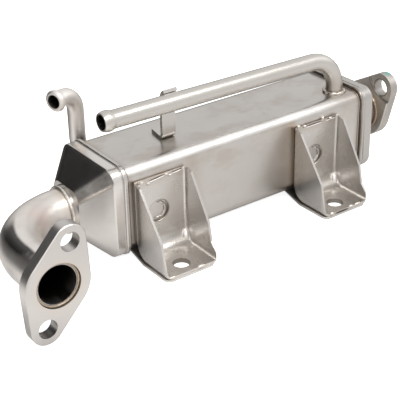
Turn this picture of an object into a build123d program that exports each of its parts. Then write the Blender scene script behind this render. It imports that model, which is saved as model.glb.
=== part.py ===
"""Exhaust gas recirculation cooler, shell and tube, all stainless sheet and tube.

Hot exhaust gas enters through the two-bolt flange on the elbow, spreads in a hopper shaped
header, passes through a bundle of straight tubes inside a rounded square shell and leaves
through a cap shaped header and a second two-bolt flange.  Coolant flows round the tubes: it
enters by the short pipe at the back and leaves by the long pipe that runs above the shell.
Two pressed brackets with a foot plate each carry the cooler.

Frame, in millimetres: X runs along the shell from gas inlet to gas outlet, -Y is the side
with the brackets, +Z is up.  The origin lies midway between the two foot bolts, on the
underside of the foot plates.
"""
from build123d import *
import math
import os

# Fixing feet
foot_pitch = 105.5
foot_hole_d = 9.0
foot_sheet = 1.2
foot_front = 9.1
foot_left = 14.7
foot_right = 15.6
foot_flat_end = 13.0
foot_rise_end = 26.6
foot_tail_end = 38.0
foot_corner = 3.5

# Pressed brackets, measured from the axis of their foot bolt
bracket_sheet = 1.3
bracket_left = 14.7
bracket_right = 18.1
bracket_reach = 20.1
bracket_front = 8.6
bracket_top = 45.1
bracket_bend = 9.7
bracket_edge_bend = 3.0
bracket_plan_corner = 4.0
bracket_window_d = 11.8
bracket_window_z = 25.0
bracket_window_edge = 0.3
bracket_seam_depth = 0.9
bracket_seam_width = 0.7
wing_top_depth = 6.2
wing_top_drop = 1.4
left_knee_depth = 24.3
left_knee_z = 19.5
right_knee_depth = 20.6
right_knee_z = 20.3
right_ankle_depth = 22.8
right_ankle_z = 10.2
wing_toe_depth = 26.8
wing_toe_rise = 3.6

# Shell: rounded square tube
shell_side = 47.5
shell_wall = 1.5
shell_corner = 6.0
shell_lift = 5.2
shell_end_bevel = 0.9
shell_start_x = -70.4
shell_end_x = 88.2

# Tube plates, whose rims stand out between the shell and the headers
plate_t = 2.6
plate_proud = 1.9
plate_rim_round = 0.8

# Gas tubes
tube_wall = 0.6
tube_ligament = 2.2
tube_edge_margin = 2.15
tubes_per_side = 4
tube_stick_out = 0.8
braze_gap = 0.05

# Baffles that steer the coolant across the tubes
baffle_t = 1.2
baffle_count = 2
baffle_gap = 0.3
baffle_hole_gap = 0.15

# Headers
header_proud = 1.4
header_wall = 1.2
header_groove = 0.9
inlet_skirt = 5.6
inlet_hopper = 13.8
neck_length = 2.6
hopper_neck_corner = 6.5
hopper_crease_round = 1.2
outlet_header_depth = 8.1
outlet_header_edge = 3.6
collar_length = 2.2

# Gas pipes
gas_pipe_od = 23.0
gas_pipe_wall = 1.5
gas_pipe_recess = 1.5
elbow_radius = 36.0
inlet_bore_x = -132.4
inlet_face_y = -18.2
outlet_face_x = 120.5
pipe_entry = 2.0

# Two-bolt flanges
flange_t = 6.5
flange_pitch = 43.5
flange_hole_d = 9.8
flange_ear_r = 8.5
flange_middle_r = 17.0
flange_edge = 0.4
inlet_flange_tilt = 20.1
outlet_flange_tilt = 38.0
seat_depth = 0.9
seat_radius = 18.0
seat_offset = 17.0

# Coolant pipes
long_pipe_od = 9.6
short_pipe_od = 9.0
coolant_wall = 0.75
long_pipe_x = 78.8
long_pipe_from_front = 12.1
long_pipe_end_x = -75.9
long_pipe_rise = 23.3
long_pipe_droop = 2.0
long_pipe_bend = 18.5
short_pipe_x = -64.6
short_pipe_stand_off = 10.0
short_pipe_entry_z = 39.8
short_pipe_rise = 22.5
short_pipe_reach = 17.1
short_pipe_swing = 22.0
short_pipe_lower_bend = 9.0
short_pipe_upper_bend = 10.5
pipe_stick_in = 0.5
long_bead_length = 6.2
long_bead_height = 0.8
short_bead_length = 3.6
short_bead_height = 1.4

# Clip that steadies the long pipe
clip_x = -32.2
clip_width = 8.4
clip_sheet = 1.8
clip_foot = 13.2
clip_foot_end = 4.6
clip_bend = 3.4
clip_gap = 0.6
clip_hook_angle = 60.0

# Places that follow from the sizes above
shell_front_y = bracket_reach
shell_back_y = shell_front_y + shell_side
shell_top_z = shell_lift + shell_side
axis_y = shell_front_y + shell_side / 2
axis_z = shell_lift + shell_side / 2
shell_inside = shell_side - 2 * shell_wall
tube_gaps = (tubes_per_side - 1) * tube_ligament + 2 * tube_edge_margin
tube_od = (shell_inside - tube_gaps) / tubes_per_side
tube_pitch = tube_od + tube_ligament
plate_in_x = shell_start_x - plate_t
plate_out_x = shell_end_x + plate_t
hopper_x = plate_in_x - inlet_skirt
neck_x = hopper_x - inlet_hopper
neck_end_x = neck_x - neck_length
cap_end_x = plate_out_x + outlet_header_depth
gas_bore_d = gas_pipe_od - 2 * gas_pipe_wall
neck_bore_d = gas_pipe_od + 2 * braze_gap
header_side = shell_side + 2 * header_proud
header_corner = shell_corner + header_proud
long_pipe_y = shell_front_y + long_pipe_from_front
long_pipe_z = shell_top_z + long_pipe_rise
short_pipe_y = shell_back_y + short_pipe_stand_off
short_pipe_z = shell_top_z + short_pipe_rise
short_pipe_end_x = short_pipe_x - short_pipe_reach * math.cos(math.radians(short_pipe_swing))
short_pipe_end_y = short_pipe_y - short_pipe_reach * math.sin(math.radians(short_pipe_swing))
OVER = 50.0


def across(x):
    """Plane square to the shell at x, with local x along +Y and local y along +Z."""
    return Plane(origin=(x, axis_y, axis_z), x_dir=(0, 1, 0), z_dir=(1, 0, 0))


def rounded_block(x_low, x_high, side, corner):
    """Rounded square bar along the shell's axis."""
    return extrude(across(x_low) * RectangleRounded(side, side, corner), x_high - x_low)


def along_x(x_low, x_high, diameter, y=axis_y, z=axis_z):
    """Round bar parallel to the shell."""
    centre = Plane(origin=(x_low, y, z), z_dir=(1, 0, 0))
    return extrude(centre * Circle(diameter / 2), x_high - x_low)


def tube_places():
    """Centres of the gas tubes in the plane of a tube plate."""
    first = -(tubes_per_side - 1) / 2 * tube_pitch
    steps = [first + i * tube_pitch for i in range(tubes_per_side)]
    return [(u, v) for v in steps for u in steps]


def tube_holes(x_low, x_high, diameter, keep=lambda v: True):
    """Bars that drill the tube pattern, for the rows that keep() lets through."""
    circles = Sketch() + [Pos(u, v) * Circle(diameter / 2) for u, v in tube_places() if keep(v)]
    return extrude(across(x_low) * circles, x_high - x_low)


def bent_tube(points, radii, outer_d, wall):
    """Tube swept along straight runs joined by arcs."""
    path = FilletPolyline(*points, radius=radii)
    start = Plane(origin=path @ 0, z_dir=path % 0)
    outer = sweep(start * Circle(outer_d / 2), path=path)
    inner = sweep(start * Circle(outer_d / 2 - wall), path=path)
    return outer - inner


def build_shell():
    """Water jacket: rounded square tube with the two coolant holes."""
    body = rounded_block(shell_start_x, shell_end_x, shell_side, shell_corner)
    ends = body.faces().filter_by(Axis.X)
    body = chamfer(ends.edges(), shell_end_bevel)
    body -= rounded_block(
        shell_start_x, shell_end_x, shell_side - 2 * shell_wall, shell_corner - shell_wall
    )
    top_hole = Cylinder(long_pipe_od / 2 + braze_gap, 4 * shell_wall)
    body -= Pos(long_pipe_x, long_pipe_y, shell_top_z) * top_hole
    back_hole = Cylinder(short_pipe_od / 2 + braze_gap, 4 * shell_wall)
    body -= Pos(short_pipe_x, shell_back_y, short_pipe_entry_z) * Rot(X=90) * back_hole
    return body


def build_tube_plate(x_low):
    """Tube plate whose rim stands out from the shell."""
    side = shell_side + 2 * plate_proud
    plate = rounded_block(x_low, x_low + plate_t, side, shell_corner + plate_proud)
    plate = fillet(plate.faces().filter_by(Axis.X).edges(), plate_rim_round)
    return plate - tube_holes(x_low, x_low + plate_t, tube_od + 2 * braze_gap)


def build_gas_tube(u, v):
    """One straight gas tube, brazed into both tube plates."""
    low = plate_in_x - tube_stick_out
    high = plate_out_x + tube_stick_out
    tube = along_x(low, high, tube_od, axis_y + u, axis_z + v)
    return tube - along_x(low, high, tube_od - 2 * tube_wall, axis_y + u, axis_z + v)


def build_baffle(number):
    """Support plate that leaves one row of tubes free, at the top or the bottom in turn."""
    spacing = (shell_end_x - shell_start_x) / (baffle_count + 1)
    low = shell_start_x + number * spacing - baffle_t / 2
    side = shell_side - 2 * shell_wall - 2 * baffle_gap
    plate = rounded_block(low, low + baffle_t, side, shell_corner - shell_wall - baffle_gap)
    turn = 1 if number % 2 else -1
    cut_level = (tubes_per_side - 2) / 2 * tube_pitch
    window = across(low) * Pos(0, turn * (cut_level + side / 2)) * Rectangle(2 * side, side)
    plate -= extrude(window, baffle_t)
    hole_d = tube_od + 2 * baffle_hole_gap
    return plate - tube_holes(low, low + baffle_t, hole_d, lambda v: turn * v < cut_level)


def hopper_form(shrink, neck_d):
    """Skirt, four-sided hopper and round neck of the inlet header, inset by shrink.

    The hopper keeps rounded corners down to the neck, so four creases run along it.
    """
    side = header_side - 2 * shrink
    corner = header_corner - shrink
    narrow_x = neck_x + shrink
    skirt = rounded_block(hopper_x, plate_in_x, side, corner)
    wide = across(hopper_x) * RectangleRounded(side, side, corner)
    narrow = across(narrow_x) * RectangleRounded(neck_d, neck_d, hopper_neck_corner - shrink)
    return skirt + loft([narrow, wide], ruled=True) + along_x(neck_end_x, narrow_x, neck_d)


def build_inlet_header():
    """Hopper that spreads the gas over the tube plate."""
    header = hopper_form(0, neck_bore_d + 2 * header_wall)
    crease = [e for e in header.edges() if abs(e.center().X - hopper_x) < 0.01 and e.bounding_box().size.X < 0.01]
    header = fillet(crease, hopper_crease_round)
    header -= hopper_form(header_wall, neck_bore_d)
    return header - rim_groove(plate_in_x - header_groove, plate_in_x, header_groove)


def rim_groove(x_narrow, x_wide, depth):
    """Ring that bevels a header's skirt where it meets the rim of the tube plate."""
    ring = rounded_block(min(x_narrow, x_wide), max(x_narrow, x_wide), header_side + depth, header_corner)
    full = across(x_narrow) * RectangleRounded(header_side, header_side, header_corner)
    small_side = header_side - 2 * depth
    small = across(x_wide) * RectangleRounded(small_side, small_side, header_corner - depth)
    return ring - loft([full, small], ruled=True)


def build_outlet_header():
    """Shallow pressed cap with rounded edges and a drawn collar for the outlet pipe."""
    body = rounded_block(plate_out_x, cap_end_x, header_side, header_corner)
    body = fillet(body.faces().sort_by(Axis.X)[-1].edges(), outlet_header_edge)
    inside = rounded_block(
        plate_out_x, cap_end_x - header_wall, header_side - 2 * header_wall, header_corner - header_wall
    )
    inside = fillet(inside.faces().sort_by(Axis.X)[-1].edges(), outlet_header_edge - header_wall)
    collar = along_x(cap_end_x - header_wall, cap_end_x + collar_length, neck_bore_d + 2 * header_wall)
    body = body - inside + collar
    body -= along_x(cap_end_x - OVER / 5, cap_end_x + OVER, neck_bore_d)
    return body - rim_groove(plate_out_x + header_groove, plate_out_x, header_groove)


def build_inlet_elbow():
    """Gas pipe that turns from the hopper's neck to the front."""
    points = [
        (neck_x + pipe_entry, axis_y, axis_z),
        (inlet_bore_x, axis_y, axis_z),
        (inlet_bore_x, inlet_face_y + gas_pipe_recess, axis_z),
    ]
    return bent_tube(points, elbow_radius, gas_pipe_od, gas_pipe_wall)


def build_outlet_pipe():
    """Short straight gas pipe between the cap and the outlet flange."""
    low = cap_end_x - pipe_entry
    high = outlet_face_x - gas_pipe_recess
    return along_x(low, high, gas_pipe_od) - along_x(low, high, gas_bore_d)


def flange_blank():
    """Two-bolt flange in its own plane: sealing face at z = 0, ears along local y."""
    middle = Circle(flange_middle_r)
    ears = [Pos(0, s * flange_pitch / 2) * Circle(flange_ear_r) for s in (-1, 1)]
    outline = make_hull((middle + ears[0] + ears[1]).edges())
    plate = extrude(outline, flange_t)
    plate = chamfer(plate.edges().group_by(Axis.Z)[0] + plate.edges().group_by(Axis.Z)[-1], flange_edge)
    plate -= Cylinder(neck_bore_d / 2, 4 * flange_t)
    for s in (-1, 1):
        plate -= Pos(0, s * flange_pitch / 2) * Cylinder(flange_hole_d / 2, 4 * flange_t)
    return plate


def bolt_seats():
    """Shallow round cuts in the back face of a flange, one at each ear."""
    seat = extrude(Circle(seat_radius), 2 * seat_depth)
    low = flange_t - seat_depth
    reach = seat_offset + seat_radius
    return [Pos(0, s * reach, low) * seat for s in (-1, 1)]


def build_inlet_flange():
    """Inlet flange, sealing face to the front, its ears leaning to +X at the top."""
    lean = math.radians(inlet_flange_tilt)
    place = Plane(
        origin=(inlet_bore_x, inlet_face_y, axis_z),
        x_dir=(-math.cos(lean), 0, math.sin(lean)),
        z_dir=(0, 1, 0),
    )
    return place * flange_blank()


def build_outlet_flange():
    """Outlet flange, sealing face to +X, its ears leaning to the front at the top."""
    lean = math.radians(outlet_flange_tilt)
    blank = flange_blank()
    for seat in bolt_seats():
        blank -= seat
    place = Plane(
        origin=(outlet_face_x, axis_y, axis_z),
        x_dir=(0, -math.cos(lean), -math.sin(lean)),
        z_dir=(-1, 0, 0),
    )
    return place * blank


def tray_form(inset, low, high, front):
    """Solid form of the bracket's pressing, inset by one sheet for the inside."""
    left = -bracket_left + inset
    right = bracket_right - inset
    back = bracket_reach - inset
    width = right - left
    block = Pos((left + right) / 2, (front + back) / 2, (low + high) / 2) * Box(width, back - front, high - low)
    heel = block.edges().filter_by(Axis.X).group_by(Axis.Y)[-1].sort_by(Axis.Z)[0]
    block = fillet(heel, bracket_bend - inset)
    for side in (0, -1):
        face = block.faces().filter_by(Axis.X).sort_by(Axis.X)[side]
        rear = [e for e in face.edges() if e.center().Y > front + 0.01 and e.center().Z < high - 0.01]
        block = fillet(rear, bracket_edge_bend - inset)
    return block


def wing_cut(x_low, x_high, front_edge):
    """Everything in front of a wing's edge, which runs down from the back plate's top."""
    back = bracket_reach
    inner_floor = foot_sheet + bracket_sheet
    outline = Polyline(
        (back, bracket_top - bracket_seam_depth),
        (back - bracket_seam_width, bracket_top),
        (back - wing_top_depth, bracket_top - wing_top_drop),
        *[(back - depth, z) for depth, z in front_edge],
        (back - wing_toe_depth, inner_floor + wing_toe_rise),
        (back - wing_toe_depth - wing_toe_rise / 3, inner_floor),
        (-bracket_front - OVER, inner_floor),
        (-bracket_front - OVER, bracket_top + OVER),
        (back, bracket_top + OVER),
        close=True,
    )
    side_view = Plane(origin=(x_low, 0, 0), x_dir=(0, 1, 0), z_dir=(1, 0, 0))
    return extrude(side_view * make_face(outline), x_high - x_low)


def build_bracket():
    """Pressed bracket about its foot bolt: back plate, two wings and a floor.

    The left wing's edge has one knee, the right one's a knee and an ankle.  The back
    plate's top edge is bevelled towards the shell for its weld.
    """
    floor_z = foot_sheet
    tray = tray_form(0, floor_z, bracket_top, -bracket_front)
    tray -= tray_form(bracket_sheet, floor_z + bracket_sheet, bracket_top + OVER, -bracket_front - OVER)
    tray -= wing_cut(-OVER, 0, [(left_knee_depth, left_knee_z)])
    right_edge = [(right_knee_depth, right_knee_z), (right_ankle_depth, right_ankle_z)]
    tray -= wing_cut(0, OVER, right_edge)
    back = bracket_reach
    width = bracket_left + bracket_right
    depth = bracket_front + back + OVER
    plan = Pos((bracket_right - bracket_left) / 2, depth / 2 - bracket_front) * RectangleRounded(
        width, depth, bracket_plan_corner
    )
    tray &= extrude(plan, bracket_top + OVER)
    tray -= Cylinder(foot_hole_d / 2, 8 * bracket_sheet)
    window_r = bracket_window_d / 2
    window = Pos(0, back, bracket_window_z) * Rot(X=90) * Cylinder(window_r, 4 * bracket_sheet)
    flare = Pos(0, back - bracket_sheet, bracket_window_z) * Rot(X=-90) * Cone(
        window_r + 2 * bracket_window_edge, window_r, 2 * bracket_window_edge
    )
    return tray - window - flare


def build_foot_plate():
    """Foot under a bracket's floor: flat at the bolt, then rising to lie under the shell."""
    rise = shell_lift - foot_sheet
    slope = math.atan2(rise, foot_rise_end - foot_flat_end)
    lag = foot_sheet * math.tan(slope / 2)
    outline = Polyline(
        (-foot_front, 0),
        (foot_flat_end + lag, 0),
        (foot_rise_end + lag, rise),
        (foot_tail_end, rise),
        (foot_tail_end, shell_lift),
        (foot_rise_end, shell_lift),
        (foot_flat_end, foot_sheet),
        (-foot_front, foot_sheet),
        close=True,
    )
    side_view = Plane(origin=(-foot_left, 0, 0), x_dir=(0, 1, 0), z_dir=(1, 0, 0))
    plate = extrude(side_view * make_face(outline), foot_left + foot_right)
    plate = fillet(plate.edges().filter_by(Axis.Z).group_by(Axis.Y)[0], foot_corner)
    return plate - Cylinder(foot_hole_d / 2, 4 * foot_sheet)


def hose_bead(outer_d, bead_height, bead_length):
    """Rolled bead at the open end of a coolant pipe: end at z = 0, pipe along +z."""
    pipe_r = outer_d / 2
    bore_r = pipe_r - coolant_wall
    crest = (pipe_r + bead_height, bead_length / 2)
    profile = Polyline((pipe_r, bead_length), (bore_r, bead_length), (bore_r, 0), (pipe_r, 0))
    profile += ThreePointArc((pipe_r, 0), crest, (pipe_r, bead_length))
    section = Plane.XZ * make_face(profile)
    return revolve(section, Axis.Z)


def build_coolant_outlet_pipe():
    """Long pipe above the shell, turned down into its top near the gas outlet."""
    points = [
        (long_pipe_end_x, long_pipe_y, long_pipe_z),
        (long_pipe_x, long_pipe_y, long_pipe_z - long_pipe_droop),
        (long_pipe_x, long_pipe_y, shell_top_z - shell_wall - pipe_stick_in),
    ]
    pipe = bent_tube(points, long_pipe_bend, long_pipe_od, coolant_wall)
    run = long_pipe_x - long_pipe_end_x
    place = Plane(origin=points[0], z_dir=(run, 0, -long_pipe_droop))
    return pipe + place * hose_bead(long_pipe_od, long_bead_height, long_bead_length)


def build_coolant_inlet_pipe():
    """Short pipe: out of the back of the shell, up, and over to -X and a little to the front."""
    points = [
        (short_pipe_x, shell_back_y - shell_wall - pipe_stick_in, short_pipe_entry_z),
        (short_pipe_x, short_pipe_y, short_pipe_entry_z),
        (short_pipe_x, short_pipe_y, short_pipe_z),
        (short_pipe_end_x, short_pipe_end_y, short_pipe_z),
    ]
    bends = [short_pipe_lower_bend, short_pipe_upper_bend]
    pipe = bent_tube(points, bends, short_pipe_od, coolant_wall)
    place = Plane(origin=points[-1], z_dir=(short_pipe_x - short_pipe_end_x, short_pipe_y - short_pipe_end_y, 0))
    return pipe + place * hose_bead(short_pipe_od, short_bead_height, short_bead_length)


def build_pipe_clip():
    """Strap on the shell's top that stands behind the long pipe and hooks over it."""
    pipe_slope = long_pipe_droop / (long_pipe_x - long_pipe_end_x)
    pipe_z = long_pipe_z - pipe_slope * (clip_x - long_pipe_end_x)
    inner_r = long_pipe_od / 2 + clip_gap
    outer_r = inner_r + clip_sheet
    height = pipe_z - shell_top_z
    web = Pos(inner_r + clip_sheet / 2, -height / 2) * Rectangle(clip_sheet, height)
    foot = Pos(inner_r + clip_foot / 2, clip_sheet / 2 - height) * Rectangle(clip_foot, clip_sheet)
    ring = Circle(outer_r) - Circle(inner_r)
    swing = math.radians(clip_hook_angle)
    reach = 4 * inner_r
    tip = (reach * math.cos(swing), reach * math.sin(swing))
    sector = make_face(Polyline((0, 0), (reach, 0), (reach, reach), tip, close=True))
    profile = web + foot + (ring & sector)
    side_view = Plane(
        origin=(clip_x - clip_width / 2, long_pipe_y, pipe_z), x_dir=(0, 1, 0), z_dir=(1, 0, 0)
    )
    strap = extrude(side_view * profile, clip_width)
    long_edges = strap.edges().filter_by(Axis.X)
    corner = (clip_x, long_pipe_y + outer_r, shell_top_z + clip_sheet)
    inside = long_edges.sort_by_distance(corner)[0]
    strap = fillet(inside, clip_bend - clip_sheet)
    heel = strap.edges().filter_by(Axis.X).group_by(Axis.Z)[0].sort_by(Axis.Y)[0]
    strap = fillet(heel, clip_bend)
    half = clip_width / 2
    plan = Polyline(
        (clip_x - half, 0),
        (clip_x - half, long_pipe_y + outer_r),
        (clip_x - clip_foot_end / 2, long_pipe_y + inner_r + clip_foot),
        (clip_x + clip_foot_end / 2, long_pipe_y + inner_r + clip_foot),
        (clip_x + half, long_pipe_y + outer_r),
        (clip_x + half, 0),
        close=True,
    )
    return strap & extrude(make_face(plan), 2 * shell_top_z)


def make_parts():
    """Every separate piece of the cooler, by name."""
    parts = {
        "shell": build_shell(),
        "inlet_tube_plate": build_tube_plate(plate_in_x),
        "outlet_tube_plate": build_tube_plate(shell_end_x),
        "inlet_header": build_inlet_header(),
        "outlet_header": build_outlet_header(),
        "inlet_elbow": build_inlet_elbow(),
        "outlet_pipe": build_outlet_pipe(),
        "inlet_flange": build_inlet_flange(),
        "outlet_flange": build_outlet_flange(),
        "coolant_outlet_pipe": build_coolant_outlet_pipe(),
        "coolant_inlet_pipe": build_coolant_inlet_pipe(),
        "pipe_clip": build_pipe_clip(),
    }
    for number, (u, v) in enumerate(tube_places(), start=1):
        parts[f"gas_tube_{number:02d}"] = build_gas_tube(u, v)
    for number in range(1, baffle_count + 1):
        parts[f"baffle_{number}"] = build_baffle(number)
    bracket = build_bracket()
    foot = build_foot_plate()
    for name, x in (("inlet_side", -foot_pitch / 2), ("outlet_side", foot_pitch / 2)):
        parts[f"bracket_{name}"] = Pos(x, 0, 0) * bracket
        parts[f"foot_plate_{name}"] = Pos(x, 0, 0) * foot
    return parts


def main():
    """Write one STEP file for each piece."""
    os.makedirs("parts", exist_ok=True)
    for name, shape in make_parts().items():
        export_step(shape, f"parts/{name}.step")


main()
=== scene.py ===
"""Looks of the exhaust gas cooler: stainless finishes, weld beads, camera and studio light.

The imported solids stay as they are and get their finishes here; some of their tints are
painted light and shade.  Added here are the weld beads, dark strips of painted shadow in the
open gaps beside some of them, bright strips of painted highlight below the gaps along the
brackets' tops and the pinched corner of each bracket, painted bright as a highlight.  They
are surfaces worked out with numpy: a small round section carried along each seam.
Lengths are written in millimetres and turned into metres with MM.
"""
import math

import bmesh
import bpy
import numpy as np
from mathutils import Matrix, Vector


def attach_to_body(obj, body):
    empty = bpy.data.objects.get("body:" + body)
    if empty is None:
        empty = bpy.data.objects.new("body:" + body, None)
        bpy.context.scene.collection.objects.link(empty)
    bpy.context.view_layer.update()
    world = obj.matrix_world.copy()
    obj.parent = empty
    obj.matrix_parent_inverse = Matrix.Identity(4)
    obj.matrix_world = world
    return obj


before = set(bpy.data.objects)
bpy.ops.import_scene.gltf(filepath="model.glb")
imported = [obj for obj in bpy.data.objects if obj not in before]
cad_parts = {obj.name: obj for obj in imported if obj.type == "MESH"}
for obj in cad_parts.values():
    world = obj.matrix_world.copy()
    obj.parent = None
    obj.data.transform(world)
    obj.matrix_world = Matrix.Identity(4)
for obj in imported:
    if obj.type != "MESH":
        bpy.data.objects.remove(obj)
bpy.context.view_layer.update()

MM = 0.001
ALONG_X = (1, 0, 0)
ALONG_Y = (0, 1, 0)
FORWARD = (0, -1, 0)
UPWARD = (0, 0, 1)

# Sizes of the cooler that the seams and masks follow, in millimetres; LONG_PIPE holds the X
# and Y of that pipe's foot, SHORT_PIPE the X and Z of the other's
SHELL_FRONT = 20.1
SHELL_SIDE = 47.5
SHELL_BOTTOM = 5.2
SHELL_CORNER = 6.0
SHELL_START = -70.4
SHELL_END = 88.2
AXIS_Y = SHELL_FRONT + SHELL_SIDE / 2
AXIS_Z = SHELL_BOTTOM + SHELL_SIDE / 2
SHELL_TOP = SHELL_BOTTOM + SHELL_SIDE
PLATE = 2.6
HEADER_PROUD = 1.4
SKIRT = 5.6
FOLD_X = SHELL_START - PLATE - SKIRT
NECK_END = -95.0
CAP_COLLAR_END = 101.1
PIPE_R = 11.5
BORE_X = -132.4
INLET_FACE = -18.2
OUTLET_FACE = 120.5
FLANGE = 6.5
OUTLET_FLANGE_BACK = OUTLET_FACE - FLANGE
RECESS = 1.5
FLANGE_PITCH = 43.5
OUTLET_TILT = 38.0
SEAT_CENTRE = 35.0
SEAT_R = 18.0
LONG_PIPE = (78.8, 32.2)
LONG_PIPE_R = 4.8
SHORT_PIPE = (-64.6, 39.8)
SHORT_PIPE_R = 4.5
FOOT_X = (-52.75, 52.75)
BRACKET_LEFT = 14.7
BRACKET_RIGHT = 18.1
BRACKET_TOP = 45.1
BRACKET_SHEET = 1.3
FLOOR_FRONT = -8.6
FOOT_SHEET = 1.2
FOOT_HOLE_R = 4.5
WINDOW_R = 5.9
WINDOW_Z = 25.0
CLIP_X = -32.2
CLIP_FOOT_Y = (39.4, 50.8)

# Places of marks on the steel, as a point or as a height
PAINT_DAB = (118.5, 29.0, 55.6)
ROSY_STAIN = (-114.5, 28.5, 37.0)
SHORT_PIPE_STAIN_Z = 66.0

# Welds along each bracket's top edge: lumps as (place along X from the foot hole, height,
# size), and the open gaps between them, drawn as dark strips of painted shadow, as (start,
# its height, end, its height)
TOP_TACKS = {
    "inlet": [
        (-9.8, 43.9, 0.75), (-6.0, 42.2, 0.85), (5.2, 44.1, 0.7), (7.6, 42.9, 0.75), (16.0, 44.2, 0.7),
    ],
    "outlet": [
        (-11.0, 45.2, 0.8), (-7.4, 44.5, 0.95), (6.2, 45.7, 1.05), (11.6, 44.2, 0.85), (17.0, 44.6, 0.6),
    ],
}
TOP_GAPS = {
    "inlet": [(-13.6, 43.2, -11.2, 43.6), (-5.2, 43.6, 4.0, 44.5), (8.4, 44.2, 15.2, 44.8)],
    "outlet": [(-13.6, 44.2, -12.2, 44.3), (-6.2, 44.3, 5.0, 44.4), (8.6, 44.4, 15.6, 44.5)],
}

# Welds along each foot's front edge: lumps as (start, end, size) and gaps, drawn as dark
# strips of painted shadow, as (start, end)
FRONT_TACKS = {
    "inlet": [(-13.2, -9.8, 0.65), (4.3, 8.4, 0.85)],
    "outlet": [(-11.2, -8.6, 0.95), (2.9, 5.6, 0.85), (7.4, 11.2, 0.75)],
}
FRONT_GAPS = {"inlet": [], "outlet": [(-7.4, 2.2)]}

# Points of a bead: round its section, along a round seam and along a square one
BEAD_SIDES = 10
CIRCLE_POINTS = 120
SQUARE_POINTS = 480
# Radius left at a bead's tips, and the distance in metres within which points are merged
TIP = 1e-4
MERGED = 2e-7
# Half the length of a top tack, and how far a lip, a bright strip of painted highlight,
# lies below its gap
TACK_HALF = 0.95
LIP_DROP = 0.65

# Floor, with the middle of the bright patch that the steel mirrors
FLOOR_HALF = 3000.0
FLOOR_Z = -0.3
BRIGHT_PATCH = (-140, 0, 0)

# Camera: place, turn about the vertical, downward look and tilt in degrees, and lens
CAMERA_PLACE = (-322.28, -392.77, 293.76)
CAMERA_TURN = 35.68
CAMERA_DOWN = 28.17
CAMERA_TILT = -1.17
CAMERA_LENS = 98.09

rng = np.random.default_rng(7)


# Shapes

def mesh_from_grid(name, points, wrap_u, wrap_v):
    """Turns a grid of points, shape (n, m, 3) in millimetres, into a smooth mesh.

    Each cell of the grid is one four-sided face; wrap_u and wrap_v join the last row or
    column to the first.
    """
    n, m = points.shape[:2]
    rows = np.arange(n if wrap_u else n - 1)
    cols = np.arange(m if wrap_v else m - 1)
    i, j = np.meshgrid(rows, cols, indexing="ij")
    i2, j2 = (i + 1) % n, (j + 1) % m
    quads = np.stack([i * m + j, i2 * m + j, i2 * m + j2, i * m + j2], axis=-1).reshape(-1, 4)
    mesh = bpy.data.meshes.new(name)
    mesh.from_pydata((points.reshape(-1, 3) * MM).tolist(), [], quads.tolist())
    mesh.polygons.foreach_set("use_smooth", np.ones(len(quads), bool))
    mesh.update()
    piece = bpy.data.objects.new(name, mesh)
    bpy.context.scene.collection.objects.link(piece)
    return piece


def lumps(count, pitch_count, depth, wander):
    """Height of a weld bead along its length, about 1.

    One rounded scallop for each of pitch_count steps, depth high, plus a slow random
    wander made of five sines.
    """
    t = np.linspace(0, 1, count, endpoint=False)
    scallop = np.abs(np.sin(np.pi * pitch_count * t)) ** 0.7
    slow = np.zeros(count)
    for k in range(2, 7):
        slow += rng.normal(0, 1 / k) * np.sin(2 * np.pi * (k * t + rng.random()))
    return 1 - depth / 2 + depth * scallop + wander * slow


def circles_along(path, radius, up, across):
    """Grid of circles about the points of path, each lying in its up and across directions."""
    a = np.linspace(0, 2 * np.pi, BEAD_SIDES, endpoint=False)[None, :, None]
    ring = np.cos(a) * up[:, None, :] + np.sin(a) * across[:, None, :]
    return path[:, None, :] + radius[:, None, None] * ring


def closed_bead(name, path, outward, half_width, steps, depth=0.22, wander=0.10):
    """Weld bead round a closed seam.

    path holds points of the seam and outward the unit directions in which the bead stands
    up; across is the seam's direction crossed with outward.  The section is a circle of
    radius half_width times the bead's height at that point.
    """
    along = np.roll(path, -1, axis=0) - np.roll(path, 1, axis=0)
    along /= np.linalg.norm(along, axis=1, keepdims=True)
    across = np.cross(along, outward)
    height = lumps(len(path), steps, depth, wander) * half_width
    return finish_mesh(mesh_from_grid(name, circles_along(path, height, outward, across), True, True))


def open_bead(name, start, end, outward, half_width, steps, depth=0.22, wander=0.12, blunt=0.25):
    """Straight run of weld from start to end with rounded ends."""
    s = crowded(max(16, steps * 8))
    start, end = np.array(start, float), np.array(end, float)
    path = start + (end - start) * ((s + 1) / 2)[:, None]
    return tapered_bead(name, path, outward, half_width, steps, depth, wander, blunt)


def arc_bead(name, centre, radius, first, last, outward, half_width, steps, depth=0.22, wander=0.12):
    """Run of weld along part of an upright circle, from angle first to last in degrees from +X."""
    s = crowded(max(24, steps * 8))
    a = np.radians(first + (last - first) * (s + 1) / 2)
    path = np.array(centre, float) + radius * np.stack([np.cos(a), 0 * a, np.sin(a)], axis=1)
    return tapered_bead(name, path, outward, half_width, steps, depth, wander)


def crowded(count):
    """Numbers from -1 to 1 that lie closer together towards both ends, as a sine does."""
    return np.sin(np.linspace(-np.pi / 2, np.pi / 2, count))


def tapered_bead(name, path, outward, half_width, steps, depth, wander, blunt=0.25):
    """Weld bead along an open path of crowded points.

    The section is a circle whose radius follows the bead's height times one minus the square
    of the distance from the middle, raised to the power blunt, so that both ends close to a
    point; 0.25 gives blunt ends and 0.5 an egg.
    """
    s = crowded(len(path))
    along = np.gradient(path, axis=0)
    along /= np.linalg.norm(along, axis=1, keepdims=True)
    outward = np.array(outward, float)
    up = outward - along * (along @ outward)[:, None]
    up /= np.linalg.norm(up, axis=1, keepdims=True)
    across = np.cross(along, up)
    height = lumps(len(path), steps, depth, wander) * half_width * np.maximum(1 - s**2, 0) ** blunt
    height[[0, -1]] = TIP
    return finish_mesh(mesh_from_grid(name, circles_along(path, height, up, across), False, True))


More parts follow.
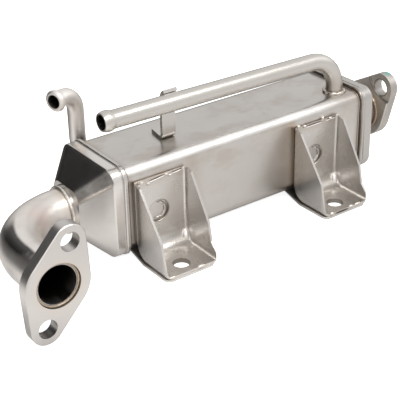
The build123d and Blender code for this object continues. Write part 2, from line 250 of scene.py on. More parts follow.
def finish_mesh(piece):
    """Merges doubled points, closes both ends and turns every face outwards."""
    shape = bmesh.new()
    shape.from_mesh(piece.data)
    bmesh.ops.remove_doubles(shape, verts=shape.verts, dist=MERGED)
    rims = [e for e in shape.edges if e.is_boundary]
    if rims:
        bmesh.ops.holes_fill(shape, edges=rims)
    bmesh.ops.recalc_face_normals(shape, faces=shape.faces)
    shape.to_mesh(piece.data)
    shape.free()
    piece.data.polygons.foreach_set("use_smooth", np.ones(len(piece.data.polygons), bool))
    piece.data.update()
    return piece


def circle_seam(centre, normal, radius):
    """Points of a circle about centre, square to normal, with the directions away from it."""
    normal = np.array(normal, float)
    side = np.cross(normal, [0, 0, 1.0] if abs(normal[2]) < 0.9 else [1.0, 0, 0])
    side /= np.linalg.norm(side)
    other = np.cross(normal, side)
    a = np.linspace(0, 2 * np.pi, CIRCLE_POINTS, endpoint=False)[:, None]
    outward = np.cos(a) * side + np.sin(a) * other
    return np.array(centre, float) + radius * outward, outward


def square_seam(x, half, corner):
    """Points round the shell at x: a square of half side half with rounded corners.

    Points are spread evenly by length over four straight sides and four quarter circles.
    """
    flat = half - corner
    lengths = np.tile([2 * flat, np.pi / 2 * corner], 4)
    ends = np.concatenate([[0], np.cumsum(lengths)])
    s = np.linspace(0, ends[-1], SQUARE_POINTS, endpoint=False)
    part = np.clip(np.searchsorted(ends, s, side="right") - 1, 0, 7)
    rest = s - ends[part]
    turn = (part // 2) * np.pi / 2
    bend = np.where(part % 2 == 1, rest / corner, 0)
    lead = np.where(part % 2 == 0, rest, 2 * flat)
    u = np.where(part % 2 == 0, half, flat + corner * np.cos(bend))
    v = np.where(part % 2 == 0, lead - flat, flat + corner * np.sin(bend))
    du, dv = np.cos(bend), np.sin(bend)
    y = u * np.cos(turn) - v * np.sin(turn)
    z = u * np.sin(turn) + v * np.cos(turn)
    ny = du * np.cos(turn) - dv * np.sin(turn)
    nz = du * np.sin(turn) + dv * np.cos(turn)
    path = np.stack([np.full_like(y, x), AXIS_Y + y, AXIS_Z + z], axis=1)
    return path, np.stack([np.zeros_like(ny), ny, nz], axis=1)


# Materials

class Nodes:
    """Small helper that adds shader nodes to one material or world.

    Masks are sockets from 0 to 1.  Their places and reaches are given in millimetres.
    """

    def __init__(self, tree):
        self.tree = tree
        tree.nodes.clear()

    def add(self, kind, **settings):
        """One node with its settings."""
        node = self.tree.nodes.new(kind)
        for key, value in settings.items():
            setattr(node, key, value)
        return node

    def link(self, out, into):
        """Joins an output to an input."""
        self.tree.links.new(out, into)

    def math(self, operation, a, b=None, clamp=False):
        """One arithmetic step on one or two numbers or sockets."""
        node = self.add("ShaderNodeMath", operation=operation, use_clamp=clamp)
        for slot, value in zip(node.inputs, (a, b)):
            if value is None:
                continue
            if isinstance(value, (int, float)):
                slot.default_value = value
            else:
                self.link(value, slot)
        return node.outputs[0]

    def spread(self, value, low, high, to_low, to_high):
        """Maps value from low..high to to_low..to_high with soft ends."""
        node = self.add("ShaderNodeMapRange", interpolation_type="SMOOTHSTEP")
        self.link(value, node.inputs["Value"])
        node.inputs["From Min"].default_value = low
        node.inputs["From Max"].default_value = high
        node.inputs["To Min"].default_value = to_low
        node.inputs["To Max"].default_value = to_high
        return node.outputs["Result"]

    def rise(self, value, low, high):
        """0 up to low, rising softly to 1 at high."""
        return self.spread(value, low, high, 0, 1)

    def fall(self, value, low, high):
        """1 up to low, falling softly to 0 at high."""
        return self.spread(value, low, high, 1, 0)

    def all_of(self, mask, *others):
        """The masks multiplied, which is 1 only where each of them is."""
        for other in others:
            mask = self.math("MULTIPLY", mask, other)
        return mask

    def any_of(self, mask, *others):
        """The largest of the masks."""
        for other in others:
            mask = self.math("MAXIMUM", mask, other)
        return mask

    def blend(self, factor, a, b):
        """Mixes two colours, each a tuple or a socket, by a mask."""
        node = self.add("ShaderNodeMix", data_type="RGBA")
        self.link(factor, node.inputs["Factor"])
        colours = [s for s in node.inputs if s.type == "RGBA"]
        for slot, value in zip(colours, (a, b)):
            if isinstance(value, tuple):
                slot.default_value = (*value, 1)
            else:
                self.link(value, slot)
        return next(s for s in node.outputs if s.type == "RGBA")

    def noise(self, scale, detail, rough, grain=(1, 1, 1)):
        """Cloudy noise about 0.5 of scale lumps per metre, times grain's numbers along X, Y, Z."""
        where = self.add("ShaderNodeTexCoord")
        mapping = self.add("ShaderNodeMapping", vector_type="POINT")
        mapping.inputs["Scale"].default_value = grain
        self.link(where.outputs["Object"], mapping.inputs["Vector"])
        node = self.add("ShaderNodeTexNoise")
        self.link(mapping.outputs["Vector"], node.inputs["Vector"])
        node.inputs["Scale"].default_value = scale
        node.inputs["Detail"].default_value = detail
        node.inputs["Roughness"].default_value = rough
        return node.outputs["Fac"]

    def part_of(self, output, axis):
        """One axis of a coordinate output."""
        where = self.add("ShaderNodeTexCoord")
        split = self.add("ShaderNodeSeparateXYZ")
        self.link(where.outputs[output], split.inputs[0])
        return split.outputs[axis]

    def along(self, axis):
        """Place along an axis, in metres."""
        return self.part_of("Object", axis)

    def facing(self, axis):
        """How far the surface faces along an axis, from -1 to 1."""
        return self.part_of("Normal", axis)

    def beyond(self, axis, low, high):
        """0 up to low along an axis, rising softly to 1 at high."""
        return self.rise(self.along(axis), low * MM, high * MM)

    def before(self, axis, low, high):
        """1 up to low along an axis, falling softly to 0 at high."""
        return self.fall(self.along(axis), low * MM, high * MM)

    def band(self, axis, centre, reach):
        """1 on a plane square to an axis, falling softly to 0 at reach from it."""
        off = self.math("SUBTRACT", self.along(axis), centre * MM)
        return self.fall(self.math("ABSOLUTE", off), 0, reach * MM)

    def distance(self, point):
        """Distance from a point, in metres."""
        spot = self.add("ShaderNodeVectorMath", operation="DISTANCE")
        where = self.add("ShaderNodeTexCoord")
        self.link(where.outputs["Object"], spot.inputs[0])
        spot.inputs[1].default_value = [c * MM for c in point]
        return spot.outputs["Value"]

    def near(self, point, reach, core=0.15):
        """1 within core times reach of a point, falling softly to 0 at reach."""
        return self.fall(self.distance(point), core * reach * MM, reach * MM)

    def shell_about(self, point, radius, reach):
        """1 at radius from a point, falling softly to 0 at reach on either side of it."""
        off = self.math("SUBTRACT", self.distance(point), radius * MM)
        return self.fall(self.math("ABSOLUTE", off), 0, reach * MM)


STEEL = (0.565, 0.545, 0.522)
BROWN = (0.300, 0.215, 0.140)
STRAW = (0.560, 0.455, 0.330)
DARK_BROWN = (0.150, 0.115, 0.085)
RUST = (0.43, 0.31, 0.21)
ROSY = (0.70, 0.56, 0.52)
# Near black: painted shade inside the pipes, and the lines at the outlet flange's seat steps
NEAR_BLACK = (0.060, 0.052, 0.046)
BRIGHT = (0.93, 0.90, 0.87)
PAINT = (0.20, 0.52, 0.46)


def stainless(name, colour, rough, tints=(), grain=(1, 1, 1), bump=0.000012, mottle=0.012):
    """Satin stainless steel.

    Fine noise drives a small bump, bump metres high, and the roughness; a number below 1 in
    grain draws it out along that axis.  Slow noise shifts the colour by about the share
    mottle, and each tint (mask maker, colour, strength) is mixed in where its mask is 1,
    broken up by that noise.
    """
    material = bpy.data.materials.new(name)
    material.use_nodes = True
    n = Nodes(material.node_tree)
    shader = n.add("ShaderNodeBsdfPrincipled")
    out = n.add("ShaderNodeOutputMaterial")
    n.link(shader.outputs["BSDF"], out.inputs["Surface"])
    shader.inputs["Metallic"].default_value = 1.0
    fine = n.noise(2600, 2.0, 0.6, grain)
    slow = n.noise(55, 4.0, 0.6)
    smear = n.noise(120, 3.0, 0.55, grain)
    darker = tuple(c * (1 - mottle * 2) for c in colour)
    lighter = tuple(min(1, c * (1 + mottle)) for c in colour)
    tone = n.blend(n.rise(slow, 0.3, 0.7), darker, lighter)
    for mask, tint, strength in tints:
        broken = n.math("MULTIPLY", mask(n), n.spread(slow, 0.25, 0.65, 0.45, 1))
        tone = n.blend(n.math("MULTIPLY", broken, strength, clamp=True), tone, tint)
    n.link(tone, shader.inputs["Base Color"])
    wear = n.math("ADD", n.spread(smear, 0.25, 0.75, -0.008, 0.008), n.spread(fine, 0.2, 0.8, -0.01, 0.01))
    n.link(n.math("ADD", wear, rough), shader.inputs["Roughness"])
    relief = n.add("ShaderNodeBump")
    relief.inputs["Strength"].default_value = 0.5
    relief.inputs["Distance"].default_value = bump
    n.link(fine, relief.inputs["Height"])
    n.link(relief.outputs["Normal"], shader.inputs["Normal"])
    return material


# Masks of the tints: heat tint, stains, and painted light and shade

def brackets_heat(n):
    """Brown beside the brackets' back plates, where they were welded to the shell."""
    right = n.band("X", FOOT_X[1] - BRACKET_LEFT - 6, 13)
    left = n.math("MULTIPLY", n.band("X", FOOT_X[0] + BRACKET_RIGHT + 4, 10), 0.6)
    return n.all_of(n.any_of(right, left), n.band("Y", SHELL_FRONT, 3))


def bracket_edge_heat(n):
    """Narrow line on the shell's front, left of the bracket nearer the outlet."""
    return n.all_of(n.band("X", FOOT_X[1] - BRACKET_LEFT - 0.8, 4), n.band("Y", SHELL_FRONT, 3))


def pipe_foot_heat(n):
    """Brown round the long pipe's foot on the shell."""
    return n.near((*LONG_PIPE, SHELL_TOP), 13)


def clip_heat(n):
    """Brown round the clip's foot."""
    return n.near((CLIP_X, CLIP_FOOT_Y[0] + 3, SHELL_TOP), 9)


def shell_ends_heat(n):
    """Faint brown at both ends of the shell."""
    return n.any_of(n.band("X", SHELL_START, 5), n.band("X", SHELL_END, 5))


def shell_end_painted_shade(n):
    """Dark brown line where the shell meets the outlet tube plate: painted shade of the step there."""
    return n.band("X", SHELL_END, 2.4)


def smudges(n):
    """Cloudy smudges, stronger towards the height of the shell's top."""
    high = n.spread(n.along("Z"), 20 * MM, SHELL_TOP * MM, 0.35, 1)
    cloud = n.noise(62, 3.0, 0.6, (0.7, 1, 1.3))
    return n.all_of(n.rise(cloud, 0.45, 0.66), high)


def top_edge_painted_highlight(n):
    """The shell's rounded top front edge, painted lighter as a highlight except near the outlet."""
    up = n.facing("Z")
    edge = n.all_of(n.rise(up, 0.3, 0.6), n.fall(up, 0.965, 0.995))
    front = n.fall(n.facing("Y"), -0.1, 0.0)
    return n.all_of(edge, front, n.before("X", 45, 80))


def hopper_top_painted_shade(n):
    """The hopper's upper side and the crease below it: painted shade for the dark reflection on that side.
    """
    return n.all_of(n.rise(n.facing("Z"), 0.02, 0.35), n.before("X", FOLD_X - 2.4, FOLD_X + 0.1))


def hopper_sides(n):
    """The hopper's slopes, which face the inlet pipe rather than up or sideways."""
    return n.fall(n.facing("X"), -0.5, -0.3)


def hopper_crease_painted_shade(n):
    """The rounded crease between the hopper's top and front: painted shade, nearly black, for the dark
    reflection there.
    """
    up = n.facing("Z")
    return n.all_of(n.rise(up, 0.10, 0.26), n.fall(up, 0.50, 0.68), hopper_sides(n))


def hopper_front_painted_light(n):
    """The upper half of the hopper's front side: painted light, lighter than the rest of the header."""
    return n.all_of(hopper_sides(n), n.fall(n.facing("Z"), 0.0, 0.12), n.beyond("Z", 14, 26))


def header_low_painted_shade(n):
    """The lower part of the inlet header: painted shade, darker towards the bottom."""
    return n.before("Z", 8, 22)


def skirt(n):
    """The skirt of the inlet header: painted light, brighter than the rest of the header."""
    return n.beyond("X", FOLD_X - 0.4, FOLD_X + 1.1)


def elbow_side_painted_highlight(n):
    """The upper half of the elbow's outermost side: painted highlight, brighter than the rest."""
    return n.all_of(n.fall(n.facing("X"), -0.86, -0.70), n.rise(n.facing("Z"), 0.25, 0.45))


def elbow_belly_painted_shade(n):
    """The elbow's lower half: painted shade, darker than the rest."""
    return n.fall(n.facing("Z"), 0.0, 0.4)


def elbow_shoulder_painted_reflection(n):
    """The elbow's outer shoulder, near the flange: painted reflection, a dark patch for dark surroundings
    mirrored there.
    """
    side = n.facing("X")
    return n.all_of(n.fall(side, -0.30, -0.14), n.rise(side, -0.80, -0.58), n.before("Y", 22, 40))


def elbow_stain(n):
    """A faint rosy stain on the inside of the elbow's bend."""
    return n.near(ROSY_STAIN, 11)


def pipe_inside_painted_shade(n):
    """The inside of a pipe, painted near black as shade: surface that sees little of its surroundings
    within 30 mm.
    """
    open_room = n.add("ShaderNodeAmbientOcclusion", samples=6)
    open_room.inputs["Distance"].default_value = 30 * MM
    return n.fall(open_room.outputs["AO"], 0.30, 0.52)


def inlet_bore(n):
    """Round the bore of the inlet flange."""
    return n.near((BORE_X, INLET_FACE, AXIS_Z), 17)


def inlet_flange_low_painted_shade(n):
    """The lower part of the inlet flange: painted shade, darker towards the bottom."""
    return n.before("Z", -5, 22)


def inlet_flange_rim_painted_shade(n):
    """The lower part of the inlet flange's rim: surface that doesn't face forwards, darkened as painted
    shade.
    """
    return n.all_of(n.fall(n.math("ABSOLUTE", n.facing("Y")), 0.3, 0.8), n.before("Z", 12, 34))


def outlet_flange_rim_painted_shade(n):
    """The outlet flange's rim: surface that doesn't face along the shell, darkened as painted shade."""
    return n.fall(n.math("ABSOLUTE", n.facing("X")), 0.3, 0.8)


def outlet_pipe_heat(n):
    """Round the outlet pipe on the flange's back."""
    return n.near((OUTLET_FLANGE_BACK, AXIS_Y, AXIS_Z), 22)


def outlet_ear(sign, out):
    """Point on the back of the outlet flange, out millimetres from its middle towards one ear."""
    tilt = math.radians(OUTLET_TILT)
    y = AXIS_Y - sign * out * math.sin(tilt)
    z = AXIS_Z + sign * out * math.cos(tilt)
    return (OUTLET_FLANGE_BACK, y, z)


def outlet_seat_lines(n):
    """The step of each nut seat on the outlet flange's back."""
    lines = [n.shell_about(outlet_ear(sign, SEAT_CENTRE), SEAT_R, 1.1) for sign in (-1, 1)]
    return n.all_of(n.any_of(*lines), n.band("X", OUTLET_FLANGE_BACK + 0.5, 1.6))


def outlet_hole_walls_painted_shade(n):
    """The walls of the outlet flange's two bolt holes: painted shade."""
    walls = []
    for sign in (-1, 1):
        x, y, z = outlet_ear(sign, FLANGE_PITCH / 2)
        walls.append(n.near((x + FLANGE / 2, y, z), 6.1, 0.96))
    return n.any_of(*walls)


def paint_dab(n):
    """A small dab of inspection paint on the outlet flange's upper ear."""
    return n.near(PAINT_DAB, 3.2, 0.4)


def bracket_top_heat(n):
    """The top edge of the brackets' back plates."""
    return n.all_of(n.band("Y", SHELL_FRONT, 4), n.band("Z", BRACKET_TOP, 6))


def wing_low_painted_shade(n):
    """The lower part of each bracket's left wing, outside: painted shade."""
    wings = [n.band("X", x - BRACKET_LEFT, 3) for x in FOOT_X]
    return n.all_of(n.fall(n.facing("X"), -0.8, -0.5), n.before("Z", 8, 24), n.any_of(*wings))


def window_walls_painted_shade(n):
    """The cut walls of the brackets' round windows: painted shade."""
    centres = [(x, SHELL_FRONT - BRACKET_SHEET / 2, WINDOW_Z) for x in FOOT_X]
    return n.any_of(*[n.shell_about(centre, WINDOW_R + 0.1, 0.9) for centre in centres])


def foot_hole_walls_painted_shade(n):
    """The walls of the two foot bolt holes: painted shade."""
    return n.any_of(*[n.near((x, 0, FOOT_SHEET), FOOT_HOLE_R + 0.7, 0.88) for x in FOOT_X])


def foot_shade(n):
    """The foot plates' back half: painted shade under the shell."""
    return n.beyond("Y", 4, 16)


def seam_top_painted_shade(n):
    """The seams' upper side: painted shade of the step at each seam."""
    return n.beyond("Z", SHELL_TOP - 7, SHELL_TOP - 2)


def make_finishes():
    """Every finish of the cooler, by name."""
    return {
        "shell": stainless(
            "shell_sheet", STEEL, 0.30,
            [
                (brackets_heat, BROWN, 0.50),
                (bracket_edge_heat, RUST, 0.4),
                (pipe_foot_heat, BROWN, 0.45),
                (clip_heat, BROWN, 0.35),
                (shell_ends_heat, BROWN, 0.35),
                (shell_end_painted_shade, DARK_BROWN, 0.8),
                (smudges, BROWN, 0.28),
                (top_edge_painted_highlight, (0.90, 0.88, 0.86), 1.0),
            ],
            grain=(0.04, 1, 1),
        ),
        "plate": stainless("tube_plate_rim", STEEL, 0.27, [(shell_end_painted_shade, DARK_BROWN, 0.8)]),
        "header": stainless(
            "pressed_header", STEEL, 0.245,
            [
                (lambda n: n.band("X", NECK_END, 4), BROWN, 0.4),
                (hopper_front_painted_light, (0.66, 0.637, 0.612), 1.0),
                (header_low_painted_shade, (0.42, 0.405, 0.388), 1.0),
                (hopper_top_painted_shade, (0.28, 0.255, 0.235), 0.75),
                (hopper_crease_painted_shade, (0.10, 0.093, 0.086), 0.9),
                (skirt, (0.69, 0.665, 0.64), 1.6),
            ],
        ),
        "cap": stainless("pressed_cap", (0.50, 0.482, 0.463), 0.25),
        "elbow": stainless(
            "bent_gas_pipe", (0.78, 0.745, 0.71), 0.38,
            [
                (lambda n: n.band("X", NECK_END, 8), STRAW, 0.5),
                (smudges, BROWN, 0.18),
                (elbow_side_painted_highlight, BRIGHT, 0.9),
                (elbow_stain, ROSY, 0.6),
                (elbow_belly_painted_shade, (0.38, 0.368, 0.355), 1.0),
                (elbow_shoulder_painted_reflection, (0.09, 0.087, 0.084), 1.15),
                (pipe_inside_painted_shade, NEAR_BLACK, 3.0),
            ],
        ),
        "outlet_pipe": stainless(
            "gas_outlet_pipe", (0.41, 0.385, 0.355), 0.26,
            [(lambda n: n.band("X", OUTLET_FLANGE_BACK, 9), BROWN, 0.7)],
        ),
        "inlet_flange": stainless(
            "inlet_flange_plate", (0.56, 0.54, 0.522), 0.37,
            [
                (inlet_bore, STRAW, 0.55),
                (inlet_flange_low_painted_shade, (0.42, 0.405, 0.39), 0.6),
                (inlet_flange_rim_painted_shade, (0.24, 0.232, 0.224), 1.0),
            ],
            bump=0.000015,
        ),
        "outlet_flange": stainless(
            "outlet_flange_plate", (0.74, 0.71, 0.675), 0.42,
            [
                (outlet_pipe_heat, BROWN, 0.75),
                (outlet_seat_lines, NEAR_BLACK, 0.95),
                (outlet_hole_walls_painted_shade, DARK_BROWN, 0.9),
                (outlet_flange_rim_painted_shade, (0.42, 0.400, 0.378), 1.0),
                (paint_dab, PAINT, 1.2),
            ],
            bump=0.000015,
        ),
        "bracket": stainless(
            "pressed_bracket", (0.600, 0.578, 0.553), 0.28,
            [
                (bracket_top_heat, BROWN, 0.45),
                (wing_low_painted_shade, (0.46, 0.443, 0.424), 0.9),
                (window_walls_painted_shade, DARK_BROWN, 0.8),
                (foot_hole_walls_painted_shade, DARK_BROWN, 0.8),
            ],
        ),
        "foot": stainless(
            "foot_plate_sheet", (0.68, 0.655, 0.628), 0.40,
            [(foot_shade, (0.30, 0.28, 0.26), 0.9), (foot_hole_walls_painted_shade, DARK_BROWN, 0.8)],
        ),
        "coolant_pipe": stainless(
            "coolant_pipe", (0.58, 0.56, 0.53), 0.35,
            [(lambda n: n.near((*LONG_PIPE, SHELL_TOP + 2), 14), BROWN, 0.6), (pipe_inside_painted_shade, NEAR_BLACK, 2.0)],
        ),
        "short_pipe": stainless(
            "short_coolant_pipe", (0.80, 0.77, 0.74), 0.47,
            [(lambda n: n.band("Z", SHORT_PIPE_STAIN_Z, 16), BROWN, 0.22), (pipe_inside_painted_shade, NEAR_BLACK, 2.0)],
        ),
        "clip": stainless("clip_strap", STEEL, 0.26),
        "inner": stainless("brazed_inner_steel", (0.30, 0.28, 0.26), 0.42),
        "weld": stainless("weld_bead", (0.72, 0.685, 0.64), 0.30, mottle=0.06, bump=0.00003),
        "seam": stainless(
            "brazed_seam", (0.42, 0.385, 0.35), 0.36, [(seam_top_painted_shade, DARK_BROWN, 0.8)], mottle=0.05
        ),
        # Dark strips of painted shadow in the open gaps at the brackets' tops and feet
        "gap": stainless("painted_gap_shadow", (0.075, 0.064, 0.055), 0.55, mottle=0.05),
        # Bright finish of painted highlight: the lips below the gaps and the pressed corner lumps
        "pinch": stainless("pressed_pinch_painted_highlight", BRIGHT, 0.46),
        "light_seam": stainless("light_brazed_seam", (0.50, 0.475, 0.45), 0.34, mottle=0.05),
        "dull_weld": stainless("dull_weld_bead", (0.56, 0.51, 0.455), 0.30, mottle=0.10),
        "hot_weld": stainless("heat_tinted_weld", (0.42, 0.345, 0.265), 0.28, mottle=0.12, bump=0.00003),
    }


def dress_nodes(finishes):
    """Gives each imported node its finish."""
    plain = {
        "shell": "shell",
        "inlet_tube_plate": "plate",
        "outlet_tube_plate": "plate",
        "inlet_header": "header",
        "outlet_header": "cap",
        "inlet_elbow": "elbow",
        "outlet_pipe": "outlet_pipe",
        "inlet_flange": "inlet_flange",
        "outlet_flange": "outlet_flange",
        "coolant_outlet_pipe": "coolant_pipe",
        "coolant_inlet_pipe": "short_pipe",
        "pipe_clip": "clip",
        "bracket_inlet_side": "bracket",
        "bracket_outlet_side": "bracket",
        "foot_plate_inlet_side": "foot",
        "foot_plate_outlet_side": "foot",
    }
    for name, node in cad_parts.items():
        finish = finishes[plain.get(name, "inner")]
        for place in node.material_slots:
            place.material = finish


def attach(piece, finish):
    """Gives an added piece its finish and fixes it to the cooler."""
    piece.data.materials.append(finish)
    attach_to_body(piece, "root")


def add_welds(finishes):
    """Every weld bead of the cooler."""
    weld, hot, dull = finishes["weld"], finishes["hot_weld"], finishes["dull_weld"]
    inlet_face = (BORE_X, INLET_FACE + RECESS, AXIS_Z)
    inlet_back = (BORE_X, INLET_FACE + FLANGE + 0.2, AXIS_Z)
    outlet_face = (OUTLET_FACE - RECESS, AXIS_Y, AXIS_Z)
    outlet_back = (OUTLET_FLANGE_BACK - 0.2, AXIS_Y, AXIS_Z)
    short_foot = (SHORT_PIPE[0], SHELL_FRONT + SHELL_SIDE + 0.15, SHORT_PIPE[1])
    rings = [
        ("neck_weld", (NECK_END - 0.3, AXIS_Y, AXIS_Z), ALONG_X, PIPE_R + 0.5, 0.85, 34, weld),
        ("inlet_bore_weld", inlet_face, ALONG_Y, PIPE_R - 0.55, 0.62, 30, hot),
        ("inlet_flange_back_weld", inlet_back, ALONG_Y, PIPE_R + 0.4, 1.0, 34, weld),
        ("outlet_bore_weld", outlet_face, ALONG_X, PIPE_R - 0.55, 0.62, 30, hot),
        ("outlet_flange_back_weld", outlet_back, ALONG_X, PIPE_R + 0.4, 1.0, 34, hot),
        ("cap_collar_weld", (CAP_COLLAR_END + 0.2, AXIS_Y, AXIS_Z), ALONG_X, PIPE_R + 0.4, 0.8, 34, weld),
        ("long_pipe_weld", (*LONG_PIPE, SHELL_TOP + 0.15), UPWARD, LONG_PIPE_R + 0.6, 1.3, 7, dull),
        ("short_pipe_weld", short_foot, ALONG_Y, SHORT_PIPE_R + 0.5, 0.95, 13, weld),
    ]
    for name, centre, normal, radius, half, steps, finish in rings:
        path, outward = circle_seam(centre, normal, radius)
        depth = 0.40 if finish is dull else 0.22
        attach(closed_bead(name, path, outward, half, steps, depth), finish)
    half = SHELL_SIDE / 2
    rim = half + HEADER_PROUD
    seams = [
        ("shell_start_weld", SHELL_START + 0.55, half - 0.25, SHELL_CORNER - 0.3, 0.62, "seam"),
        ("shell_end_weld", SHELL_END - 0.55, half - 0.25, SHELL_CORNER - 0.3, 0.62, "seam"),
        ("header_weld", SHELL_START - PLATE - 0.3, rim - 0.55, SHELL_CORNER + 0.8, 0.5, "light_seam"),
        ("cap_weld", SHELL_END + PLATE + 0.3, rim - 0.7, SHELL_CORNER + 0.8, 0.36, "seam"),
    ]
    for name, x, reach, corner, size, finish in seams:
        path, outward = square_seam(x, reach, corner)
        attach(closed_bead(name, path, outward, size, 110, 0.10, 0.04), finishes[finish])
    for label, x in zip(("inlet", "outlet"), FOOT_X):
        add_bracket_welds(label, x, finishes)
    y, z = CLIP_FOOT_Y[1], SHELL_TOP + 0.3
    clip_foot = open_bead(
        "clip_foot_weld", (CLIP_X - 1.8, y, z), (CLIP_X + 1.8, y, z), (0, 1, 0.6), 0.8, 4
    )
    attach(clip_foot, weld)


def add_bracket_welds(label, x, finishes):
    """Welds, gaps and pinch of one bracket, whose foot hole is at x.

    They lie along its top edge, in its window, in its right corner and along its foot.  The gaps
    are dark strips of painted shadow, the lips below the top gaps bright strips of painted
    highlight, and the pinch is a pressed lump painted bright as a highlight.
    """
    weld, gap_shadow, highlight_paint = finishes["weld"], finishes["gap"], finishes["pinch"]
    face = SHELL_FRONT - BRACKET_SHEET
    for number, (along, high, size) in enumerate(TOP_TACKS[label], start=1):
        y = SHELL_FRONT - 0.4 if high > BRACKET_TOP - 0.2 else face + 0.25
        start, end = (x + along - TACK_HALF, y, high), (x + along + TACK_HALF, y, high)
        tack = open_bead(f"{label}_bracket_top_tack_{number}", start, end, (0, -1, 0.3), size, 2, 0.3)
        attach(tack, weld)
    for number, (start, low, end, high) in enumerate(TOP_GAPS[label], start=1):
        # Dark strip of painted shadow in the gap under the plate's top edge
        gap = open_bead(
            f"{label}_bracket_top_gap_{number}",
            (x + start, face + 0.1, low), (x + end, face + 0.1, high), FORWARD, 0.34, 5, 0.10, 0.05,
        )
        attach(gap, gap_shadow)
        # Bright strip of painted highlight along the plate's top edge, below the gap
        y = face + 0.15
        lip = open_bead(
            f"{label}_bracket_top_lip_{number}",
            (x + start, y, low - LIP_DROP), (x + end, y, high - LIP_DROP), FORWARD, 0.40, 5, 0.10,
        )
        attach(lip, highlight_paint)
    plug = arc_bead(
        f"{label}_window_weld", (x, SHELL_FRONT - 0.1, WINDOW_Z), WINDOW_R - 1.6, 95, -120,
        FORWARD, 0.75, 6, 0.4, 0.15,
    )
    attach(plug, finishes["light_seam"])
    # Pressed lump in the bracket's right corner, painted bright as a highlight
    side = x + BRACKET_RIGHT - BRACKET_SHEET
    foot, head = (side - 2.2, face - 2.2, 0.6), (side - 1.3, face - 1.0, 9.0)
    pinch = open_bead(
        f"{label}_bracket_corner_pinch", foot, head, (-1, -1, 0.2), 2.1, 1, 0.05, 0.05, 0.5
    )
    attach(pinch, highlight_paint)
    y, z = FLOOR_FRONT + 0.2, FOOT_SHEET + BRACKET_SHEET - 0.2
    for number, (low, high, size) in enumerate(FRONT_TACKS[label], start=1):
        start, end = (x + low, y, z), (x + high, y, z)
        tack = open_bead(f"{label}_foot_tack_{number}", start, end, (0, -1, 1), size, 3)
        attach(tack, weld)
    # Dark strips of painted shadow in the gaps along the foot's front edge
    y, z = FLOOR_FRONT - 0.05, FOOT_SHEET + 0.5
    for number, (low, high) in enumerate(FRONT_GAPS[label], start=1):
        gap = open_bead(
            f"{label}_foot_gap_shadow_{number}", (x + low, y, z), (x + high, y, z), FORWARD, 0.32, 4, 0.10, 0.05
        )
        attach(gap, gap_shadow)


# Studio

def make_world():
    """White surroundings with a dark card at the back left and a grey one at the back right.

    Each card is (direction, inner angle, outer angle, share): within the inner angle of its
    direction only that share of the light is left, and beyond the outer angle all of it.
    The camera itself sees plain white.
    """
    world = bpy.data.worlds.new("studio")
    bpy.context.scene.world = world
    world.use_nodes = True
    n = Nodes(world.node_tree)
    where = n.add("ShaderNodeTexCoord")
    light = None
    cards = [
        ((-0.56, 0.79, 0.20), 26, 42, 0.03),
        ((0.56, 0.83, -0.06), 10, 24, 0.30),
    ]
    for direction, inner, outer, share in cards:
        dot = n.add("ShaderNodeVectorMath", operation="DOT_PRODUCT")
        n.link(where.outputs["Generated"], dot.inputs[0])
        dot.inputs[1].default_value = Vector(direction).normalized()
        edge, core = math.cos(math.radians(outer)), math.cos(math.radians(inner))
        factor = n.spread(dot.outputs["Value"], edge, core, 1, share)
        light = factor if light is None else n.math("MULTIPLY", light, factor)
    tone = n.blend(light, (0, 0, 0), (0.98, 0.968, 0.957))
    rays = n.add("ShaderNodeLightPath")
    studio = n.add("ShaderNodeBackground")
    n.link(tone, studio.inputs["Color"])
    studio.inputs["Strength"].default_value = 0.95
    paper = n.add("ShaderNodeBackground")
    paper.inputs["Color"].default_value = (1, 1, 1, 1)
    pick = n.add("ShaderNodeMixShader")
    n.link(rays.outputs["Is Camera Ray"], pick.inputs["Fac"])
    n.link(studio.outputs[0], pick.inputs[1])
    n.link(paper.outputs[0], pick.inputs[2])
    out = n.add("ShaderNodeOutputWorld")
    n.link(pick.outputs[0], out.inputs["Surface"])


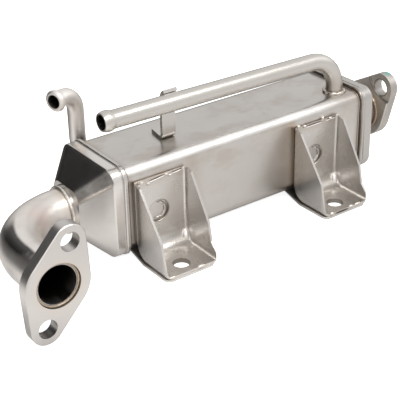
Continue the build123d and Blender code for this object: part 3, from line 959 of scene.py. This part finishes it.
def make_floor():
    """Plain white floor under the feet that keeps a faint shadow.

    Mirrored in the steel it is half lit and half glowing, so that reflections stay even; it
    is dark behind the cooler and has a bright patch at the left front.
    """
    material = bpy.data.materials.new("floor_paper")
    material.use_nodes = True
    n = Nodes(material.node_tree)
    rays = n.add("ShaderNodeLightPath")
    front = n.spread(n.along("Y"), 60 * MM, 200 * MM, 1, 0.15)
    # The mirrored glow fades near the cooler as painted contact shade
    contact = n.add("ShaderNodeAmbientOcclusion", samples=6)
    contact.inputs["Distance"].default_value = 25 * MM
    patch = n.near(BRIGHT_PATCH, 190)
    paper = n.add("ShaderNodeBsdfDiffuse")
    paper.inputs["Color"].default_value = (0.80, 0.785, 0.77, 1)
    seen_paper = n.add("ShaderNodeBsdfDiffuse")
    n.link(n.blend(front, (0, 0, 0), (0.40, 0.392, 0.385)), seen_paper.inputs["Color"])
    seen_glow = n.add("ShaderNodeEmission")
    n.link(n.blend(front, (0, 0, 0), (0.46, 0.452, 0.444)), seen_glow.inputs["Color"])
    glow = n.math("MULTIPLY", n.spread(patch, 0, 1, 1.0, 1.8), contact.outputs["AO"])
    n.link(glow, seen_glow.inputs["Strength"])
    mirrored = n.add("ShaderNodeAddShader")
    n.link(seen_paper.outputs[0], mirrored.inputs[0])
    n.link(seen_glow.outputs[0], mirrored.inputs[1])
    kind = n.add("ShaderNodeMixShader")
    n.link(rays.outputs["Is Glossy Ray"], kind.inputs["Fac"])
    n.link(paper.outputs[0], kind.inputs[1])
    n.link(mirrored.outputs[0], kind.inputs[2])
    faint = n.add("ShaderNodeEmission")
    faint.inputs["Color"].default_value = (0.86, 0.86, 0.86, 1)
    both = n.add("ShaderNodeAddShader")
    n.link(paper.outputs[0], both.inputs[0])
    n.link(faint.outputs[0], both.inputs[1])
    seen = n.add("ShaderNodeMixShader")
    n.link(rays.outputs["Is Camera Ray"], seen.inputs["Fac"])
    n.link(kind.outputs[0], seen.inputs[1])
    n.link(both.outputs[0], seen.inputs[2])
    out = n.add("ShaderNodeOutputMaterial")
    n.link(seen.outputs[0], out.inputs["Surface"])
    edges = (-FLOOR_HALF, FLOOR_HALF)
    x, y = np.meshgrid(edges, edges, indexing="ij")
    floor = mesh_from_grid("floor", np.stack([x, y, np.full_like(x, FLOOR_Z)], axis=-1), False, False)
    floor.data.materials.append(material)


def soft_light(name, place, aim, size, watts, colour=(1, 1, 1)):
    """Rectangular lamp at place, turned to aim, both in millimetres."""
    lamp = bpy.data.lights.new(name, "AREA")
    lamp.shape = "RECTANGLE"
    lamp.size, lamp.size_y = size
    lamp.energy = watts
    lamp.color = colour
    holder = bpy.data.objects.new(name, lamp)
    holder.location = Vector(place) * MM
    direction = (Vector(aim) - Vector(place)).normalized()
    holder.rotation_euler = direction.to_track_quat("-Z", "Y").to_euler()
    bpy.context.scene.collection.objects.link(holder)


def make_lights():
    """A long softbox above the front and smaller ones at the right and at the left."""
    soft_light("softbox_over_front", (60, -420, 760), (10, 30, 40), (0.9, 0.28), 4.0, (1, 0.985, 0.96))
    soft_light("softbox_right", (720, -160, 420), (20, 30, 40), (0.5, 0.4), 0.4)
    soft_light("softbox_left", (-560, -420, 520), (-60, 0, 30), (0.6, 0.5), 0.8)


def make_camera():
    """Camera at the photograph's place, with its axes and lens fitted to the bolt holes."""
    camera = bpy.data.objects.new("camera", bpy.data.cameras.new("camera"))
    yaw, pitch, roll = (math.radians(a) for a in (CAMERA_TURN, CAMERA_DOWN, CAMERA_TILT))
    look = Vector((math.sin(yaw) * math.cos(pitch), math.cos(yaw) * math.cos(pitch), -math.sin(pitch)))
    right = Vector((math.cos(yaw), -math.sin(yaw), 0))
    up = right.cross(look)
    turned_right = math.cos(roll) * right + math.sin(roll) * up
    turned_up = math.cos(roll) * up - math.sin(roll) * right
    place = Vector(CAMERA_PLACE) * MM
    axes = Matrix((turned_right, turned_up, -look)).transposed()
    camera.matrix_world = Matrix.Translation(place) @ axes.to_4x4()
    camera.data.sensor_width = 36.0
    camera.data.lens = CAMERA_LENS
    camera.data.clip_start = 0.01
    camera.data.clip_end = 20
    bpy.context.scene.collection.objects.link(camera)
    bpy.context.scene.camera = camera


make_camera()
finishes = make_finishes()
dress_nodes(finishes)
add_welds(finishes)
make_world()
make_floor()
make_lights()
bpy.context.scene.view_settings.view_transform = "Standard"
